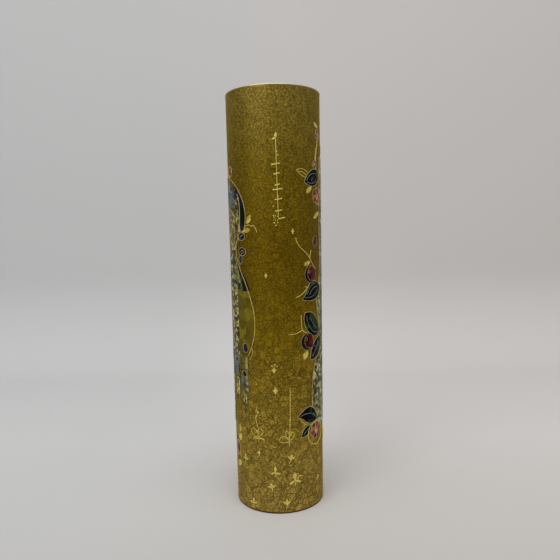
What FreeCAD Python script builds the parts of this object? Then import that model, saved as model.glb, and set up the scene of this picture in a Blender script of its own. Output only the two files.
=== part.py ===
"""Tall cylindrical cloisonne vase, in millimetres.

Frame: +Z up, origin at the centre of the foot's resting face. The decorated front faces -Y.
The decoration is drawn on the unrolled wall as (s, z): s is the arc length round the ground
surface, 0 at the front and growing towards +X, and z is the height above the resting face.

The copper tube stands on a turned foot ring whose spigot fits inside it, a base disc sits on that
spigot under a ring of solder, and a gilt lip ring caps the top with a skirt inside the wall. Enamel
covers the wall outside (the gold crackle ground) and lines it inside. Enamel cells and the brass
wires (cloisons) that fence them are fused on the ground.
"""
import FreeCAD, Part
import Sketcher
import math
import os
from FreeCAD import Placement, Rotation, Vector

DIMENSIONS = [
    ("overall_height", 405.0, "resting face to the top of the lip"),
    ("ground_radius", 45.0, "outside of the crackle ground: 90 mm across"),
    ("ground_depth", 0.8, "thickness of the ground enamel"),
    ("tube_wall", 1.4, "copper sheet of the tube"),
    ("lining_depth", 0.5, "thickness of the enamel inside, on the floor and underneath"),
    ("lip_depth", 2.4, "height of the lip ring above the tube"),
    ("lip_proud", 0.15, "how far the lip stands out past the ground"),
    ("lip_round", 1.1, "radius on the lip's two top edges"),
    ("skirt_depth", 6.0, "how far the lip's skirt reaches down inside the tube"),
    ("foot_depth", 1.8, "height of the foot ring below the tube"),
    ("foot_inset", 0.3, "how far the foot stands back from the ground"),
    ("foot_width", 5.2, "width of the resting face"),
    ("spigot_depth", 5.0, "how far the foot's spigot reaches up inside the tube"),
    ("spigot_wall", 1.8, "thickness of the spigot"),
    ("disc_depth", 1.2, "copper sheet of the base disc"),
    ("solder_leg", 1.0, "side of the solder fillet round the base disc"),
    ("cell_relief", 0.35, "how far a fused enamel cell stands above the ground"),
    ("wire_relief", 0.5, "how far a cloison stands above the ground"),
    ("wire_width", 0.8, "width of a cloison"),
    ("rose_tree_middle", 62.0, "s of the rose tree's trunk"),
    ("cartouche_middle", -68.0, "s of the cartouche"),
    ("roundel_height", 290.0, "z of the roundel at the head of the cartouche"),
    ("roundel_radius", 38.9, "radius of the roundel's outer wire"),
]

doc = FreeCAD.newDocument("cloisonne_vase")
sheet = doc.addObject("Spreadsheet::Sheet", "dims")
for row, (alias, value, note) in enumerate(DIMENSIONS, start=1):
    sheet.set(f"A{row}", alias)
    sheet.set(f"B{row}", str(value))
    sheet.set(f"C{row}", note)
    sheet.setAlias(f"B{row}", alias)
doc.recompute()

exported = []


def size(alias):
    """The number in the spreadsheet cell with this alias."""
    return float(sheet.get(alias))


# Radii and heights that the turned parts share, as expressions on the sheet.
TUBE_OUT = "dims.ground_radius - dims.ground_depth"
TUBE_IN = f"{TUBE_OUT} - dims.tube_wall"
BORE = f"{TUBE_IN} - dims.lining_depth"
TUBE_TOP = "dims.overall_height - dims.lip_depth"
DISC_FOOT = "dims.foot_depth + dims.spigot_depth"
DISC_TOP = f"{DISC_FOOT} + dims.disc_depth"
SOLDER_IN = f"{TUBE_IN} - dims.solder_leg"
SPIGOT_IN = f"{TUBE_IN} - dims.spigot_wall"


# ---------------------------------------------------------------- turned and rolled parts
def cylinder(name, radius, foot, height):
    """A Part::Cylinder on the vase's axis, its sizes given as expressions."""
    solid = doc.addObject("Part::Cylinder", name)
    solid.setExpression("Radius", radius)
    solid.setExpression("Height", height)
    solid.setExpression("Placement.Base.z", foot)
    return solid


def disc(label, radius, foot, height):
    solid = cylinder(label, radius, foot, height)
    solid.Label = label
    exported.append(solid)
    return solid


def sleeve(label, outer, inner, foot, height):
    """A plain tube: a Part::Cut of two cylinders."""
    cut = doc.addObject("Part::Cut", label)
    cut.Base = cylinder(f"{label}_outside", outer, foot, height)
    cut.Tool = cylinder(f"{label}_inside", inner, foot, height)
    cut.Label = label
    exported.append(cut)
    return cut


def turned(label, corners):
    """A PartDesign body turned about Z from a closed profile of (radius, height) expressions."""
    body = doc.addObject("PartDesign::Body", label)
    body.Label = label
    profile = body.newObject("Sketcher::SketchObject", f"{label}_profile")
    plane = next(f for f in body.Origin.OriginFeatures if f.Role == "XZ_Plane")
    profile.AttachmentSupport = [(plane, "")]
    profile.MapMode = "FlatFace"
    doc.recompute()
    points = [Vector(number(r), number(h), 0) for r, h in corners]
    for start, end in zip(points, points[1:] + points[:1]):
        profile.addGeometry(Part.LineSegment(start, end), False)
    count = len(points)
    for i in range(count):
        profile.addConstraint(Sketcher.Constraint("Coincident", i, 2, (i + 1) % count, 1))
    for i, (radius, height) in enumerate(corners):
        across = profile.addConstraint(Sketcher.Constraint("DistanceX", -1, 1, i, 1, points[i].x))
        profile.setExpression(f"Constraints[{across}]", radius)
        if abs(points[i].y) < 1e-9:
            profile.addConstraint(Sketcher.Constraint("PointOnObject", i, 1, -1))
        else:
            up = profile.addConstraint(Sketcher.Constraint("DistanceY", -1, 1, i, 1, points[i].y))
            profile.setExpression(f"Constraints[{up}]", height)
    turn = body.newObject("PartDesign::Revolution", f"{label}_turned")
    turn.Profile = profile
    turn.ReferenceAxis = (profile, ["V_Axis"])
    turn.Angle = 360.0
    doc.recompute()
    exported.append(body)
    return body, turn


def number(expression):
    """The value of a sheet expression, for a sketch's first placing."""
    terms = expression.replace("dims.", "").replace("- ", "-").replace("+ ", "+").split()
    total = 0.0
    for term in terms:
        sign = -1.0 if term.startswith("-") else 1.0
        word = term.lstrip("+-")
        total += sign * (float(word) if word[0].isdigit() else size(word))
    return total


def make_lip_ring():
    outer = "dims.ground_radius + dims.lip_proud"
    body, turn = turned("lip_ring", [
        (BORE, f"{TUBE_TOP} - dims.skirt_depth"),
        (TUBE_IN, f"{TUBE_TOP} - dims.skirt_depth"),
        (TUBE_IN, TUBE_TOP),
        (outer, TUBE_TOP),
        (outer, "dims.overall_height"),
        (BORE, "dims.overall_height"),
    ])
    top = size("overall_height")
    rims = [f"Edge{i}" for i, edge in enumerate(turn.Shape.Edges, start=1)
            if edge.BoundBox.ZLength < 1e-6 and abs(edge.BoundBox.ZMin - top) < 1e-6]
    bead = body.newObject("PartDesign::Fillet", "lip_ring_bead")
    bead.Base = (turn, rims)
    bead.setExpression("Radius", "dims.lip_round")
    body.Tip = bead


def make_foot_ring():
    outer = "dims.ground_radius - dims.foot_inset"
    turned("foot_ring", [
        (f"{outer} - dims.foot_width", "0"),
        (outer, "0"),
        (outer, "dims.foot_depth"),
        (TUBE_IN, "dims.foot_depth"),
        (TUBE_IN, DISC_FOOT),
        (SPIGOT_IN, DISC_FOOT),
        (SPIGOT_IN, "dims.foot_depth"),
        (f"{outer} - dims.foot_width", "dims.foot_depth"),
    ])


def make_base_solder():
    turned("base_solder", [
        (SOLDER_IN, DISC_TOP),
        (TUBE_IN, DISC_TOP),
        (TUBE_IN, f"{DISC_TOP} + dims.solder_leg"),
    ])


def make_structure():
    wall = f"{TUBE_TOP} - dims.foot_depth"
    lined = f"{TUBE_TOP} - dims.skirt_depth - dims.foot_depth - dims.spigot_depth"
    sleeve("body_tube", TUBE_OUT, TUBE_IN, "dims.foot_depth", wall)
    sleeve("ground_enamel", "dims.ground_radius", TUBE_OUT, "dims.foot_depth", wall)
    sleeve("lining_enamel", TUBE_IN, BORE, f"{DISC_TOP} + dims.solder_leg",
           f"{lined} - dims.disc_depth - dims.solder_leg")
    disc("base_disc", TUBE_IN, DISC_FOOT, "dims.disc_depth")
    disc("floor_enamel", SOLDER_IN, DISC_TOP, "dims.lining_depth")
    disc("underside_enamel", SPIGOT_IN, f"{DISC_FOOT} - dims.lining_depth", "dims.lining_depth")
    make_foot_ring()
    make_lip_ring()
    make_base_solder()


# ---------------------------------------------------------------- drawing on the unrolled wall
def flat(point):
    return Vector(point[0], point[1], 0)


def smooth(points):
    """Edges of a smooth curve through the points, or a straight line if there are two."""
    if len(points) == 2:
        return [Part.makeLine(flat(points[0]), flat(points[1]))]
    curve = Part.BSplineCurve()
    curve.interpolate([flat(p) for p in points])
    return [curve.toShape()]


def outline(*stretches):
    """A face bounded by smooth stretches, each starting where the one before it ends."""
    edges = []
    for stretch in stretches:
        edges += smooth(stretch)
    return Part.Face(Part.Wire(edges))


def polygon(*corners):
    points = [flat(p) for p in corners]
    return Part.Face(Part.makePolygon(points + points[:1]))


def leaf(s, z, length, width, tilt):
    """A leaf of two arcs about its own centre, its tip tilt degrees up from +s."""
    cos, sin = math.cos(math.radians(tilt)), math.sin(math.radians(tilt))

    def on(along, side):
        return flat((s + cos * along - sin * side, z + sin * along + cos * side))
    tail, tip = on(-length / 2, 0), on(length / 2, 0)
    upper = Part.Arc(tail, on(0, width / 2), tip).toShape()
    lower = Part.Arc(tip, on(0, -width / 2), tail).toShape()
    return Part.Face(Part.Wire([upper, lower]))


def oval(s, z, half_width, half_height):
    """An ellipse with its axes along s and z."""
    centre = flat((s, z))
    if abs(half_width - half_height) < 1e-6:
        curve = Part.Circle(centre, Vector(0, 0, 1), half_width)
        turn = 0.0
    else:
        curve = Part.Ellipse(centre, max(half_width, half_height), min(half_width, half_height))
        turn = 90.0 if half_height > half_width else 0.0
    wire = Part.Wire([curve.toShape(0, math.pi), curve.toShape(math.pi, 2 * math.pi)])
    wire.rotate(centre, Vector(0, 0, 1), turn)
    return Part.Face(wire)


def sector(centre, inner, outer, start, end):
    """A piece of a ring round centre, between two radii and two angles in degrees from +s."""
    def on(radius, angle):
        a = math.radians(angle)
        return flat((centre[0] + radius * math.cos(a), centre[1] + radius * math.sin(a)))
    middle = (start + end) / 2
    far = Part.Arc(on(outer, start), on(outer, middle), on(outer, end)).toShape()
    near = Part.Arc(on(inner, end), on(inner, middle), on(inner, start)).toShape()
    across = Part.makeLine(on(outer, end), on(inner, end))
    back = Part.makeLine(on(inner, start), on(outer, start))
    return Part.Face(Part.Wire([far, across, near, back]))


def ribbon(points, width):
    """A wire laid along a smooth line through the points."""
    spine = smooth(points)[0].Curve
    first, last = smooth(points)[0].ParameterRange
    samples = 1 if len(points) == 2 else 5 * (len(points) - 1)
    sides = ([], [])
    for i in range(samples + 1):
        u = first + (last - first) * i / samples
        at, along = spine.value(u), spine.tangent(u)[0]
        sides[0].append((at.x - along.y * width / 2, at.y + along.x * width / 2))
        sides[1].append((at.x + along.y * width / 2, at.y - along.x * width / 2))
    sides[1].reverse()
    return outline(sides[0], [sides[0][-1], sides[1][0]], sides[1], [sides[1][-1], sides[0][0]])


def mirrored(points, middle, drop=0.0):
    """Points reflected about s = middle and lowered by drop."""
    return [(2 * middle - s, z - drop) for s, z in points]


# ---------------------------------------------------------------- fusing the drawing to the wall
SMALLEST = 0.6      # mm2: a scrap left between two wires is dropped below this area
THINNEST = 0.3      # mm: and a sliver below this width
RADIUS = size("ground_radius")
CELL, WIRE = size("cell_relief"), size("wire_relief")
WIDTH = size("wire_width")
laid = []           # flat faces already taken, so that no two pieces share space


def spare(faces):
    """What is left of flat faces beside everything laid before them, and beside each other."""
    left = []
    for face in faces:
        near = [other for other in laid + left if face.BoundBox.intersect(other.BoundBox)]
        remainder = face.cut(near) if near else face
        left += [part for part in remainder.Faces if part.Area > SMALLEST
                 and 2 * part.Area / part.OuterWire.Length > THINNEST]
    return left


def rolled_edges(wire, surface):
    """A flat wire's edges laid on a cylinder, s going round it and z up it."""
    edges = []
    for edge in wire.OrderedEdges:
        first, last = edge.ParameterRange
        straight = edge.Curve.TypeId == "Part::GeomLine"
        steps = 1 if straight else max(4, int(edge.Length / 1.5))
        points = [edge.valueAt(first + (last - first) * i / steps) for i in range(steps + 1)]
        if edge.Orientation == "Reversed":
            points.reverse()
        flat_points = [FreeCAD.Base.Vector2d(p.x, p.y) for p in points]
        curve = Part.Geom2d.BSplineCurve2d()
        if straight:
            curve.buildFromPoles(flat_points, False, 1)
        else:
            curve.interpolate(flat_points)
        for i, pole in enumerate(curve.getPoles(), start=1):
            angle = pole.x / RADIUS - math.pi / 2
            curve.setPole(i, FreeCAD.Base.Vector2d(angle, pole.y))
        edges.append(curve.toShape(surface))
    return edges


def rolled_face(flat_face, surface):
    outer = flat_face.OuterWire
    face = Part.Face(Part.Wire(rolled_edges(outer, surface)))
    for wire in flat_face.Wires:
        if not wire.isSame(outer):
            face = Part.Face(face, Part.Wire(rolled_edges(wire, surface)))
    return face


def shell_over(flat_face, relief):
    """The solid over a flat face, rolled on to the ground and standing relief proud of it."""
    under, over = Part.Cylinder(), Part.Cylinder()
    under.Radius, over.Radius = RADIUS, RADIUS + relief
    faces = [rolled_face(flat_face, under), rolled_face(flat_face, over)]
    for wire in flat_face.Wires:
        for low, high in zip(rolled_edges(wire, under), rolled_edges(wire, over)):
            faces.append(Part.makeRuledSurface(low, high))
    shell = Part.makeShell(faces)
    shell.sewShape()
    solid = Part.makeSolid(shell.Shells[0])
    if solid.Volume < 0:
        solid.reverse()
    return solid


def raised(flat_face, relief):
    """Solids over a flat face. A face that no single shell closes over is parted in two."""
    try:
        solid = shell_over(flat_face, relief)
        wanted = flat_face.Area * relief
        if solid.isValid() and abs(solid.Volume - wanted) < 0.1 * wanted:
            return [solid]
    except Part.OCCError:
        pass
    box = flat_face.BoundBox
    if max(box.XLength, box.YLength) < 1.5:
        return []
    if box.XLength > box.YLength:
        half = Part.makePlane(box.XLength * 0.53, box.YLength + 2, Vector(box.XMin - 1e-3, box.YMin - 1, 0))
    else:
        half = Part.makePlane(box.XLength + 2, box.YLength * 0.53, Vector(box.XMin - 1, box.YMin - 1e-3, 0))
    parts = flat_face.common(half).Faces + flat_face.cut(half).Faces
    return [solid for part in parts if part.Area > 0.1 for solid in raised(part, relief)]


def node(label, faces, relief):
    """One named sub-part: the flat faces beside what is laid already, raised by relief."""
    faces = spare(faces)
    laid.extend(faces)
    feature = doc.addObject("Part::Feature", label)
    feature.Label = label
    solids = [solid for face in faces for solid in raised(face, relief)]
    feature.Shape = Part.makeCompound(solids) if len(solids) > 1 else solids[0]
    feature.Placement = Placement(Vector(0, 0, 0), Rotation())
    exported.append(feature)


def joined(faces):
    """Overlapping flat faces fused into one face for each separate piece."""
    if len(faces) == 1:
        return faces
    islands = []
    for face in faces[0].multiFuse(faces[1:]).Faces:
        edges = {edge.hashCode(): edge for edge in face.Edges}
        apart = []
        for other in islands:
            if edges.keys() & other.keys():
                # An edge that two faces share is inside the piece, so it drops out.
                edges = {key: edge for key, edge in {**edges, **other}.items()
                         if (key in edges) != (key in other)}
            else:
                apart.append(other)
        islands = apart + [edges]
    pieces = []
    for edges in islands:
        loops = [Part.Wire(loop) for loop in Part.sortEdges(list(edges.values()))]
        pieces += Part.makeFace(loops, "Part::FaceMakerBullseye").Faces
    return pieces


def cells(label, faces):
    node(label, faces, CELL)


def wires(label, faces):
    """Wires that cross are fused into one piece, as they are soldered."""
    node(label, joined(faces), WIRE)


def fence(face, width=WIDTH):
    """A closed wire just outside a flat face."""
    return face.makeOffset2D(width).cut(face).Faces


# ---------------------------------------------------------------- the decoration, in (s, z)
TREE = size("rose_tree_middle")
CARTOUCHE = size("cartouche_middle")
FAR_DROP = 11.0         # the rose tree's far side hangs this much lower than its near side
BACK_FIELD = 132.0      # s of the plain field behind, a repeat of the front one

# Leaves of the rose tree: upper side, lower side, and veins.
DARK_LEAVES = [
    ([(25.4, 211.6), (31.6, 220.6), (37.0, 227.4), (44.0, 228.0), (53.0, 222.4)],
     [(53.0, 222.4), (49.4, 214.2), (38.0, 210.2), (25.4, 211.6)],
     [[(28.6, 213.4), (37.6, 213.6), (48.4, 219.8)], [(31.4, 216.0), (36.6, 223.8), (43.0, 226.0)],
      [(34.6, 215.6), (40.0, 221.4), (47.0, 222.8)]]),
    ([(28.4, 198.6), (39.6, 197.0), (46.6, 189.4), (50.4, 178.4)],
     [(50.4, 178.4), (40.0, 175.4), (31.0, 182.0), (28.4, 198.6)],
     [[(30.4, 196.0), (33.6, 185.4), (40.6, 179.2), (48.0, 178.8)],
      [(35.0, 193.6), (38.4, 188.4), (44.4, 182.6)]]),
    ([(34.6, 152.4), (37.0, 163.0), (43.6, 171.0), (52.6, 173.6)],
     [(52.6, 173.6), (52.0, 161.0), (44.0, 154.0), (34.6, 152.4)],
     [[(37.6, 155.4), (43.6, 161.4), (48.8, 168.6)], [(41.0, 166.0), (44.4, 163.2)]]),
    ([(18.4, 97.0), (25.0, 103.0), (32.6, 105.6), (39.4, 102.0), (44.0, 91.6)],
     [(44.0, 91.6), (36.0, 88.8), (29.4, 90.6), (24.0, 94.8), (18.4, 97.0)],
     [[(21.6, 97.8), (29.4, 99.4), (36.0, 98.0), (41.6, 93.2)]]),
    ([(22.4, 76.6), (25.2, 83.6), (30.0, 86.8), (35.0, 86.2)],
     [(35.0, 86.2), (33.2, 81.4), (28.8, 78.0), (22.4, 76.6)],
     [[(24.8, 78.8), (28.6, 82.2), (32.8, 84.8)]]),
    ([(29.6, 320.2), (34.6, 327.6), (41.0, 331.8), (52.0, 329.4)],
     [(52.0, 329.4), (50.6, 323.0), (46.0, 318.4), (39.0, 317.0), (29.6, 320.2)],
     [[(32.6, 321.6), (37.6, 327.0), (46.0, 328.6)], [(33.0, 320.2), (40.0, 319.4), (47.4, 322.4)],
      [(39.4, 321.4), (40.2, 324.8)]]),
]
OPEN_LEAVES = [
    [(21.0, 330.6), (27.0, 331.8), (34.0, 328.4)],
    [(21.0, 330.6), (25.4, 326.6), (30.6, 324.4)],
    [(23.4, 329.4), (27.6, 328.8), (31.6, 326.4)],
    [(20.2, 96.0), (24.0, 91.4), (28.4, 88.0)],
]
# Fruits of the rose tree: middle s and z, half width, half height, and the lean of the dark side.
FRUITS = [
    (36.3, 235.0, 7.4, 7.8, 2.2),
    (31.6, 170.6, 8.0, 8.0, 2.6),
    (43.6, 266.0, 3.6, 4.8, 0.2),
]
# Roses: middle s and z, radius, number of petals, turn of the first petal in degrees.
ROSES = [
    (42.0, 79.6, 8.4, 6, 10.0),
    (48.4, 308.0, 8.0, 5, 0.0),
    (44.4, 336.8, 3.6, 4, 0.0),
    (50.6, 364.4, 4.4, 4, 30.0),
]
PETAL_RING = (42.0, 77.4, 11.4, 11.8)
# Gilt leaves: middle s and z, length, width, tilt of the tip up from +s.
GILT_LEAVES = [
    (-25.8, 287.3, 9.5, 4.6, 62.0), (-28.6, 277.2, 9.0, 4.6, 8.0), (31.8, 245.4, 8.4, 4.2, 22.0),
    (35.6, 313.4, 10.0, 4.4, 42.0), (47.6, 290.5, 12.5, 5.0, 30.0), (47.5, 372.5, 10.0, 3.6, -24.0),
    (28.6, 158.0, 9.5, 5.6, 62.0), (-47.0, 82.0, 10.0, 5.6, 86.0), (-47.2, 72.6, 8.0, 6.2, 100.0),
    (-50.0, 44.2, 11.0, 5.6, 32.0),
]
TWIGS = [
    [(19.2, 270.0), (20.4, 265.5), (24.0, 260.6), (29.5, 256.2), (35.0, 250.6), (38.6, 245.6),
     (43.6, 240.0)],
    [(35.4, 250.4), (36.2, 254.4), (37.2, 258.0)],
    [(36.0, 227.0), (31.6, 222.6), (26.4, 217.8), (18.8, 214.2)],
    [(28.8, 224.0), (31.6, 222.6)],
    [(30.6, 179.6), (25.2, 182.8), (23.9, 188.4), (23.7, 197.0)],
    [(25.2, 182.8), (19.8, 180.4), (14.4, 179.4), (10.4, 179.6)],
    [(47.4, 352.0), (46.4, 346.0), (45.2, 340.4)],
    [(50.6, 359.6), (49.0, 352.0), (47.4, 346.0), (48.6, 330.0)],
]
TENDRILS = [
    [(-31.4, 279.6), (-28.2, 281.6), (-25.0, 282.0), (-22.6, 280.6)],
    [(-22.8, 280.0), (-20.8, 281.6), (-18.8, 279.4), (-17.2, 275.2)],
]
# The trunk's near edge, from its foot up; the far edge is its reflection.
TRUNK_EDGE = [(46.0, 84.0), (37.6, 92.0), (36.4, 104.0), (36.4, 118.0), (37.4, 132.0),
              (41.0, 146.0), (47.0, 158.0), (50.4, 176.0), (47.6, 196.0), (45.6, 210.0),
              (50.6, 226.0), (54.0, 250.0), (53.0, 280.0), (53.6, 310.0), (55.6, 345.0)]
# Small gilt fleurons: s, z, height, lean of the bloom from upright, and how far the side petals
# droop below level, both in degrees.
FLEURONS = [
    (10.6, 56.4, 10.0, -14.0, -38.0), (-4.8, 43.6, 11.0, 0.0, 18.0), (14.6, 34.6, 15.0, 4.0, 26.0),
    (-8.4, 27.4, 9.4, 12.0, -34.0), (6.0, 10.2, 10.4, 0.0, -42.0), (-28.8, 8.8, 9.6, 0.0, -12.0),
    (-38.4, 53.4, 8.4, 0.0, 12.0), (44.6, 28.6, 7.0, 10.0, -20.0),
]
# A tendril from the tallest fleuron's right petal.
CURL = [(17.6, 34.4), (20.0, 37.6), (23.0, 36.6)]
# Plain red blooms below the cartouche and on its head: middle s and z, half width, half height.
LEFT_BLOOMS = [(-53.2, 60.0, 5.6, 7.2), (-53.0, 332.2, 4.2, 4.8)]
# Gilt spangles: s, z, width, height.
SPANGLES = [(16.3, 275.5, 2.8, 6.0), (-9.5, 235.4, 2.4, 5.4), (-3.0, 125.4, 4.4, 7.0),
            (-4.0, 145.4, 4.4, 5.6), (-20.9, 62.0, 2.8, 7.0)]
# The stem up the front: ticks as height, left end, right end.
TICKS = [(335.6, -2.4, 5.2), (327.2, -0.6, 5.2), (317.4, 0.2, 5.0), (313.4, -1.6, 7.4),
         (304.6, 0.0, 6.6), (294.4, 0.2, 6.8), (287.6, 3.2, 9.0)]
DOTS = [(1.8, 355.6), (2.2, 352.6), (2.0, 349.6), (2.6, 346.6), (3.6, 343.4), (2.4, 341.4),
        (3.0, 307.0), (2.9, 300.4), (-1.2, 298.4), (-1.2, 290.0), (-0.6, 283.4), (2.4, 283.8),
        (0.8, 281.2), (-3.0, 151.0), (-6.0, 149.8), (-0.8, 149.6), (-22.0, 131.2), (4.8, 51.6),
        (10.6, 49.6)]
RING_OF_DOTS = (1.0, 287.6, 2.1)
PENDANTS = [
    [(-21.6, 109.0), (-22.0, 104.0), (-21.6, 101.6), (-22.9, 99.0), (-22.5, 92.0), (-22.7, 78.4)],
    [(-22.7, 78.6), (-27.2, 80.0), (-29.2, 83.8), (-26.6, 86.6), (-23.6, 84.6), (-22.6, 82.0)],
    [(-22.7, 78.6), (-18.4, 80.4), (-16.2, 84.4), (-18.8, 86.8), (-21.6, 84.8), (-22.6, 82.0)],
    [(11.0, 127.0), (10.6, 100.0), (10.0, 84.0), (9.2, 69.6)],
    [(9.8, 74.6), (5.0, 73.6), (0.2, 75.4), (1.6, 79.4), (6.4, 79.0), (9.9, 76.0)],
    [(9.9, 76.0), (6.0, 80.4), (6.2, 84.6), (8.8, 83.6), (10.0, 80.0)],
    [(9.9, 75.6), (13.2, 77.6), (14.6, 81.6), (13.0, 83.6), (11.2, 80.6)],
]
BASE_LINE = [(-26.6, 77.6), (-22.6, 76.9), (-18.8, 77.2), (-14.8, 75.4)]
BEADED_HEIGHTS = [(10.5, 96.2), (10.3, 91.0), (9.4, 79.0), (-21.2, 103.2), (-23.0, 99.2),
                  (-22.7, 84.4)]

# The cartouche's outer wire, on its near side, from inside the roundel down to the hem.
CONTOUR = [(-39.8, 311.0), (-37.2, 303.0), (-36.6, 294.0), (-37.2, 284.0), (-39.6, 275.0),
           (-42.6, 266.0), (-43.8, 258.4), (-42.4, 250.0), (-38.4, 241.0), (-33.2, 231.6),
           (-28.4, 220.4), (-24.4, 208.6), (-22.3, 199.4), (-21.8, 189.6), (-22.6, 180.0),
           (-24.6, 172.0), (-27.2, 164.4), (-30.8, 158.2)]
SECOND_STRAND = [(-26.4, 166.6), (-25.2, 161.6), (-26.6, 157.6), (-29.2, 154.2)]
BEADS = [(-35.0, 271.6, 3.9, 3.4), (-34.7, 257.6, 4.6, 3.6), (-33.8, 165.4, 3.2, 4.2),
         (-36.2, 139.4, 2.8, 2.8), (-49.4, 152.2, 2.8, 2.8)]


def make_fruits():
    """Round fruits: a dark crescent on the shaded side, a red one beside it, and a pale ring."""
    rims, crescents, rings, reds = [], [], [], []
    places = [(fruit, 1.0) for fruit in FRUITS]
    places += [((2 * TREE - s, z - FAR_DROP, w, h, lean), -1.0) for s, z, w, h, lean in FRUITS]
    for (s, z, w, h, lean), side in places:
        body = oval(s, z, w, h)
        lit = oval(s + side * lean, z + 0.08 * h, w * 0.84, h * 0.86)
        ring = oval(s - side * w * 0.30, z + h * 0.34, w * 0.15, w * 0.15)
        rims += fence(body, 0.5) + fence(ring, 0.45)
        inner = lit.makeOffset2D(0.4).cut(lit)
        rims += inner.common(body).Faces
        rings.append(ring)
        reds += lit.common(body).Faces
        crescents.append(body)
    wires("fruit_cloisons", rims)
    cells("fruit_eye_enamels", rings)
    cells("fruit_red_enamels", reds)
    cells("fruit_shade_enamels", crescents)


def make_roses():
    """Each rose: rounded lobes round a heart, with a wire from the heart to every notch."""
    blooms, hearts, fences = [], [], []
    places = ROSES + [(2 * TREE - s, z - FAR_DROP, r, n, 180.0 - turn) for s, z, r, n, turn in ROSES]
    for s, z, radius, count, turn in places:
        lobes = []
        for i in range(count):
            a = math.radians(turn + 360.0 / count * i)
            reach, size_of_lobe = radius * 0.52, radius * 0.48
            lobes.append(oval(s + reach * math.cos(a), z + reach * math.sin(a),
                              size_of_lobe, size_of_lobe))
            b = a + math.pi / count
            fences.append(ribbon([(s + r * math.cos(b), z + r * math.sin(b))
                                  for r in (radius * 0.32, radius * 0.95)], 0.45))
        heart = oval(s, z, radius * 0.28, radius * 0.28)
        bloom = heart.multiFuse(lobes).removeSplitter().Faces[0]
        blooms.append(bloom)
        hearts.append(heart)
        fences += fence(bloom, 0.5) + fence(heart, 0.45)
    wires("rose_cloisons", fences)
    cells("rose_heart_enamels", hearts)
    cells("rose_petal_enamels", blooms)
    s, z, width, height = PETAL_RING
    rings = [oval(s, z, width, height), oval(2 * TREE - s, z - FAR_DROP, width, height)]
    wires("petal_ring_cloisons", [rim for ring in rings for rim in fence(ring, 0.7)])


def make_leaves():
    near = DARK_LEAVES
    far = [tuple(mirrored(side, TREE, FAR_DROP) for side in (upper, lower))
           + ([mirrored(vein, TREE, FAR_DROP) for vein in veins],) for upper, lower, veins in near]
    blades, veins = [], []
    for upper, lower, leaf_veins in near + far:
        blades.append(outline(upper, lower))
        veins += [ribbon(vein, 0.42) for vein in leaf_veins]
    rims = [rim for blade in blades for rim in fence(blade, 0.5)]
    wires("leaf_cloisons", rims)
    wires("leaf_vein_wires", veins)
    cells("dark_leaf_enamels", blades)


def make_gilt_leaves():
    blades, veins = [], []
    for s, z, length, width, tilt in GILT_LEAVES:
        middle = TREE if s > 0 else CARTOUCHE
        drop = FAR_DROP if s > 0 else 0.0
        for leaf_s, leaf_z, leaf_tilt in ((s, z, tilt), (2 * middle - s, z - drop, 180.0 - tilt)):
            blades.append(leaf(leaf_s, leaf_z, length, width, leaf_tilt))
            a = math.radians(leaf_tilt)
            reach = length * 0.36
            veins.append(ribbon([(leaf_s - reach * math.cos(a), leaf_z - reach * math.sin(a)),
                                 (leaf_s + reach * math.cos(a), leaf_z + reach * math.sin(a))], 0.4))
    wires("gilt_leaf_veins", veins)
    cells("gilt_leaf_enamels", blades)


def make_trunk():
    """The tree's mosaic trunk: staggered courses of enamel cells with a wire round each."""
    far_edge = mirrored(TRUNK_EDGE, TREE)[::-1]
    trunk = outline(TRUNK_EDGE, [TRUNK_EDGE[-1], far_edge[0]], far_edge, [far_edge[-1], TRUNK_EDGE[0]])
    lattice = []
    course, column, half = 9.2, 7.6, 26.6
    for count in range(27):
        height = 93.0 + course * count + 1.8 * math.sin(2.7 * count)
        for i in range(7):
            s = TREE - half + column * i
            lean = 1.7 * math.sin(1.9 * i + count)
            if (3 * i + 5 * count) % 7:
                lattice.append(ribbon([(s, height + lean), (s + column, height - lean)], 0.45))
        shift = column / 2 if count % 2 else 0.0
        for i in range(8):
            s = TREE - half + shift + column * i + 1.5 * math.sin(3.1 * count + 2.0 * i)
            lean = 1.9 * math.sin(1.3 * i + 2.0 * count)
            lattice.append(ribbon([(s, height - 0.6), (s + lean, height + course + 0.6)], 0.45))
    beside = spare([trunk])
    inside = [part for wire in lattice for area in beside
              if wire.BoundBox.intersect(area.BoundBox) for part in wire.common(area).Faces]
    edges = [ribbon(TRUNK_EDGE, 0.7), ribbon(mirrored(TRUNK_EDGE, TREE), 0.7)]
    wires("trunk_cloisons", edges)
    wires("trunk_lattice_wires", inside)
    cells("trunk_enamels", beside)


def make_twigs():
    """Gold lines: the tree's twigs and open leaves, and the tendrils beside the cartouche."""
    lines = TWIGS + [mirrored(line, TREE, FAR_DROP) for line in TWIGS]
    fine = OPEN_LEAVES + [mirrored(line, TREE, FAR_DROP) for line in OPEN_LEAVES]
    for tendril in TENDRILS:
        fine += both(tendril)
    wires("twig_cloisons", [ribbon(line, 0.6) for line in lines]
          + [ribbon(line, 0.5) for line in fine])


def both(points):
    """A line of the cartouche's near side and its reflection on the far side."""
    return [points, mirrored(points, CARTOUCHE)]


def make_contour():
    """The cartouche's outer wire: the roundel's rim, and down both sides to the hem."""
    centre, radius = (CARTOUCHE, size("roundel_height")), size("roundel_radius")
    rim = [sector(centre, radius - 0.6, radius, start, end)
           for start, end in ((-19, 53), (53, 127), (127, 199))]
    wires("contour_cloisons", rim + [ribbon(line, 0.8) for line in both(CONTOUR)]
          + [ribbon(line, 0.6) for line in both(SECOND_STRAND)])


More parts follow.
